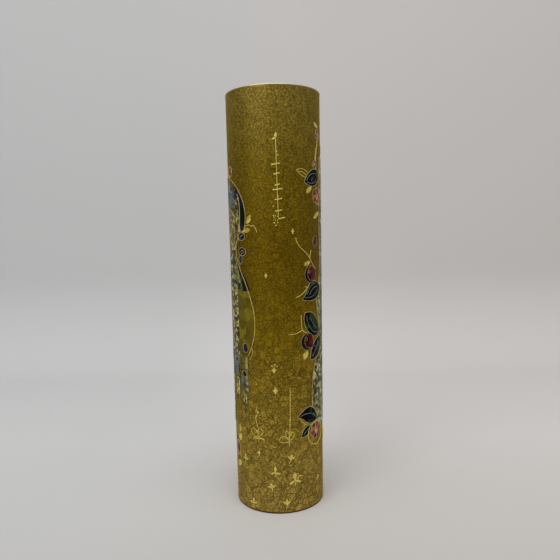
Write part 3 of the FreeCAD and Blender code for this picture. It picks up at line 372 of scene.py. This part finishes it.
ENAMELS = {
    "red": enamel("red_enamel", [(0.0, 54, 8, 6), (0.4, 118, 26, 12), (0.75, 160, 56, 24),
                                 (1.0, 190, 116, 60)], cell=330.0),
    "maroon": enamel("maroon_enamel", [(0.0, 24, 2, 4), (0.5, 56, 7, 7), (0.85, 94, 14, 10),
                                       (1.0, 132, 32, 18)], cell=180.0, sparkle=0.05, sheen=0.1),
    "shade": enamel("shade_enamel", [(0.0, 8, 4, 8), (0.6, 26, 8, 14), (1.0, 50, 10, 12)], cell=220.0,
                    sparkle=0.03, sheen=0.1),
    "heart": enamel("heart_enamel", [(0.0, 150, 60, 40), (0.6, 206, 130, 96), (1.0, 226, 190, 150)],
                    cell=260.0),
    "white": enamel("white_enamel", [(0.0, 196, 192, 182), (1.0, 232, 230, 222)], cell=260.0),
    "leaf": enamel("leaf_enamel", [(0.0, 1, 2, 4), (0.5, 2, 7, 8), (0.85, 6, 20, 12), (1.0, 44, 62, 24)],
                   sparkle=0.02, gloss=0.3, sheen=0.05),
    "gilt": enamel("gilt_leaf_enamel", [(0.0, 176, 156, 58), (0.5, 212, 192, 84), (1.0, 232, 214, 116)],
                   cell=240.0, fleck=900.0, sparkle=0.2, gloss=0.3, foil=0.3),
    "trunk": enamel("trunk_enamel", [(0.0, 12, 14, 6), (0.3, 68, 70, 24), (0.6, 134, 128, 44),
                                     (0.85, 156, 152, 80), (1.0, 206, 198, 148)], cell=340.0),
    "bead": enamel("bead_enamel", [(0.0, 6, 5, 12), (0.6, 14, 14, 28), (1.0, 50, 40, 66)], cell=260.0,
                   sparkle=0.04),
    "navy": enamel("navy_enamel", [(0.0, 2, 3, 8), (0.55, 8, 12, 24), (0.9, 20, 30, 50),
                                   (1.0, 60, 76, 96)], sparkle=0.05, sheen=0.14),
    "olive": enamel("olive_enamel", [(0.0, 98, 82, 6), (0.5, 118, 102, 12), (1.0, 138, 122, 26)],
                    cell=120.0, fleck=800.0, sparkle=0.1, gloss=0.42, foil=0.6),
    "sky": enamel("sky_enamel", [(0.0, 12, 18, 24), (0.35, 46, 56, 60), (0.7, 86, 94, 90),
                                 (1.0, 136, 138, 124)], cell=300.0),
    "meadow": enamel("meadow_enamel", [(0.0, 14, 16, 6), (0.4, 86, 76, 20), (0.8, 142, 126, 48),
                                       (1.0, 186, 172, 104)], cell=340.0),
    "rosette": enamel("rosette_enamel", [(0.0, 44, 34, 14), (0.45, 98, 76, 28), (0.8, 138, 116, 56),
                                         (1.0, 170, 154, 104)]),
    "teal": enamel("teal_enamel", [(0.0, 3, 10, 8), (0.35, 14, 50, 34), (0.6, 52, 88, 44),
                                   (0.8, 110, 106, 34), (1.0, 168, 158, 84)], cell=340.0),
    "mosaic": enamel("mosaic_enamel", [(0.0, 6, 8, 4), (0.35, 62, 60, 16), (0.65, 130, 120, 38),
                                       (1.0, 200, 188, 112)], cell=340.0),
    "pale": enamel("pale_enamel", [(0.0, 92, 86, 38), (0.5, 136, 130, 66), (1.0, 166, 160, 108)],
                   cell=240.0),
    "grey": enamel("grey_enamel", [(0.0, 28, 34, 36), (0.5, 70, 78, 78), (1.0, 118, 122, 112)]),
}
# each CAD node of enamel: its entry in ENAMELS, and its slot in the record
CELLS = {
    "fruit_red_enamels": ("maroon", "rose_red"), "fruit_shade_enamels": ("shade", "rose_shade"),
    "fruit_eye_enamels": ("maroon", "rose_red"), "white_star_enamels": ("white", "white"),
    "rose_petal_enamels": ("red", "rose_red"), "rose_heart_enamels": ("heart", "rose_heart"),
    "dark_leaf_enamels": ("leaf", "leaf_dark"), "gilt_leaf_enamels": ("gilt", "gilt_leaf"),
    "trunk_enamels": ("trunk", "trunk"), "bead_enamels": ("bead", "bead"),
    "roundel_navy_enamels": ("navy", "navy"), "roundel_olive_enamels": ("olive", "olive"),
    "roundel_sky_enamels": ("sky", "sky"), "roundel_meadow_enamels": ("meadow", "meadow"),
    "rosette_enamels": ("rosette", "rosette"), "drape_navy_enamels": ("navy", "navy"),
    "drape_olive_enamels": ("olive", "olive"), "drape_teal_enamels": ("teal", "teal"),
    "drape_mosaic_enamels": ("mosaic", "mosaic"), "tail_pale_enamels": ("pale", "pale"),
    "tail_grey_enamels": ("grey", "grey"), "tail_mosaic_enamels": ("mosaic", "mosaic"),
    "left_flower_enamels": ("red", "rose_red"),
}
# each CAD node of wire: its metal, and its slot in the record
WIRES = {
    "twig_cloisons": (GOLD, "cloison"), "gilt_leaf_veins": (GOLD, "cloison"),
    "petal_ring_cloisons": (GOLD, "cloison"), "left_flower_cloisons": (GOLD, "cloison"),
    "ticked_stem_cloisons": (GOLD, "cloison"), "pendant_cloisons": (GOLD, "cloison"),
    "gilt_fleurons": (GOLD, "cloison"), "leaf_vein_wires": (SILVER, "silver_wire"),
    "rose_cloisons": (PALE_GOLD, "pale_cloison"), "fruit_cloisons": (DULL_GOLD, "pale_cloison"),
    "leaf_cloisons": (PALE_GOLD, "pale_cloison"), "trunk_cloisons": (PALE_GOLD, "pale_cloison"),
    "bead_cloisons": (PALE_GOLD, "pale_cloison"), "contour_cloisons": (CONTOUR_GOLD, "pale_cloison"),
    "roundel_cloisons": (WORN_GOLD, "worn_cloison"), "trunk_lattice_wires": (WORN_GOLD, "worn_cloison"),
    "drape_cloisons": (WORN_GOLD, "worn_cloison"), "tail_cloisons": (WORN_GOLD, "worn_cloison"),
}


def node_span(node):
    """(outer radius, lowest z, highest z) of a CAD node, in millimetres."""
    low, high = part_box(node)
    return max(high.x, high.y) / MM, low.z / MM, high.z / MM


def quarter(centre_r, centre_z, radius, start, steps=6):
    """Points round a quarter circle of a profile, from start degrees anticlockwise."""
    angles = [math.radians(start + 90.0 * i / steps) for i in range(steps + 1)]
    return [(centre_r + radius * math.cos(a), centre_z + radius * math.sin(a)) for a in angles]


def make_turned_parts():
    """The ground, lip, foot and lining as fine lathed meshes, and the two enamelled plates."""
    ground_thick, wall_thick = 0.8, 1.4
    outer, low, high = node_span("ground_enamel")
    tube = outer - ground_thick
    steps = 40
    wall = [(outer, low + (high - low) * i / steps) for i in range(steps + 1)]
    lathed("ground_crackle", wall + [(tube, high), (tube, low)], crackle_ground(),
           ("ground_enamel",))
    lip_out, lip_low, lip_top = node_span("lip_ring")
    bore, rounding = 42.3, 1.1
    bead = quarter(lip_out - rounding, lip_top - rounding, rounding, 0.0)
    bead += quarter(bore + rounding, lip_top - rounding, rounding, 90.0)
    lathed("lip_bead", [(tube - wall_thick, high), (lip_out, high)] + bead
           + [(bore, lip_low), (tube - wall_thick, lip_low)], GILT_LIP, ("lip_ring",))
    foot_out, foot_low, foot_top = node_span("foot_ring")
    soft, foot_wall = 0.35, 5.2
    inside, spigot_in, spigot_out = foot_out - foot_wall, 41.0, 42.8
    profile = [(inside + soft, 0.0), (foot_out - soft, 0.0), (foot_out, soft), (foot_out, low),
               (spigot_out, low), (spigot_out, foot_top), (spigot_in, foot_top), (spigot_in, low),
               (inside, low), (inside, soft)]
    lathed("foot_turned", profile, FOOT_METAL, ("foot_ring",))
    lining_back = 42.8
    _, lining_low, lining_high = node_span("lining_enamel")
    inner = [(bore, lining_high - (lining_high - lining_low) * i / steps) for i in range(steps + 1)]
    lathed("lining_fired", inner + [(lining_back, lining_low), (lining_back, lining_high)],
           LINING, ("lining_enamel",))
    for node in ("floor_enamel", "underside_enamel"):
        radius, plate_low, plate_high = node_span(node)
        round_plate(f"{node}_fired", radius, plate_low, plate_high, LINING, (node,))
    # the copper and the solder keep their CAD meshes
    for node, material in (("body_tube", COPPER), ("base_disc", COPPER), ("base_solder", SOLDER)):
        nodes[node].data.materials.clear()
        nodes[node].data.materials.append(material)


def make_decoration():
    """Every enamel cell and every wire, softened. A wire's filed edge is a little rounder."""
    cell_rounding, wire_rounding = 0.12, 0.14
    for node, (colour, slot) in CELLS.items():
        softened(node, ENAMELS[colour], cell_rounding)
    for node, (finish, slot) in WIRES.items():
        softened(node, finish, wire_rounding)


# ---------------------------------------------------------------- stage, light and camera
def make_stage():
    """A pale sweep: the floor runs level and turns up into the wall behind the vase."""
    front, wall, bend, width, top = -2.2, 0.70, 0.20, 6.0, 3.0
    steps = 16
    line = [(front, 0.0), (wall - bend, 0.0)]
    line += [(wall - bend + bend * math.sin(a), bend - bend * math.cos(a))
             for a in (math.radians(90 * i / steps) for i in range(1, steps + 1))]
    line.append((wall, top))
    bm = bmesh.new()
    rows = [[bm.verts.new((x, y, z)) for x in (-width / 2, width / 2)] for y, z in line]
    for near, far in zip(rows, rows[1:]):
        bm.faces.new((near[0], near[1], far[1], far[0]))
    mesh = bpy.data.meshes.new("sweep")
    bm.to_mesh(mesh)
    bm.free()
    sweep = link(mesh, "sweep")
    mesh.materials.append(backdrop("paper_sweep"))
    mesh.shade_smooth()


def area_light(name, place, aim, width, height, power, colour=(1.0, 1.0, 1.0)):
    """A rectangular light in metres and watts, turned to face aim."""
    data = bpy.data.lights.new(name, "AREA")
    data.shape = "RECTANGLE"
    data.size, data.size_y = width, height
    data.energy = power
    data.color = colour
    lamp = bpy.data.objects.new(name, data)
    lamp.location = place
    lamp.rotation_euler = (Vector(aim) - Vector(place)).to_track_quat("-Z", "Y").to_euler()
    bpy.context.scene.collection.objects.link(lamp)


def make_lights():
    """Three large soft lights and a faint even sky."""
    middle = (0.0, 0.0, 0.2)
    area_light("overhead", (-0.1, -0.8, 1.9), middle, 2.4, 2.0, 23.0, (1.0, 0.99, 0.97))
    area_light("left_window", (-1.0, -1.3, 0.95), middle, 1.0, 1.0, 5.2, (0.98, 0.99, 1.0))
    area_light("right_fill", (1.5, -0.5, 0.8), middle, 1.8, 1.8, 1.5)
    world = bpy.data.worlds.new("studio")
    world.use_nodes = True
    world.node_tree.nodes["Background"].inputs["Color"].default_value = (0.9, 0.9, 0.92, 1.0)
    world.node_tree.nodes["Background"].inputs["Strength"].default_value = 0.36
    bpy.context.scene.world = world


def make_camera():
    """At two thirds of the vase's height, looking slightly down and rolled by about a degree. The frame is
    shifted up by a fourteenth of its width, which sets the vase lower in it."""
    eye = (0.0, -0.563, 0.2725)
    data = bpy.data.cameras.new("camera")
    data.sensor_width = 36.0
    data.lens = 36.0
    data.shift_y = 1.0 / 14.0
    data.clip_start = 0.01
    camera = bpy.data.objects.new("camera", data)
    turn, pitch, roll = (math.radians(angle) for angle in (-0.298, -8.64, -1.17))
    camera.matrix_world = (Matrix.Translation(eye)
                           @ Matrix.Rotation(turn, 4, "Z")
                           @ Matrix.Rotation(math.pi / 2 + pitch, 4, "X")
                           @ Matrix.Rotation(roll, 4, "Z"))
    bpy.context.scene.collection.objects.link(camera)
    bpy.context.scene.camera = camera


make_turned_parts()
make_decoration()
make_stage()
make_lights()
make_camera()
bpy.context.scene.view_settings.view_transform = "Standard"
bpy.context.view_layer.update()
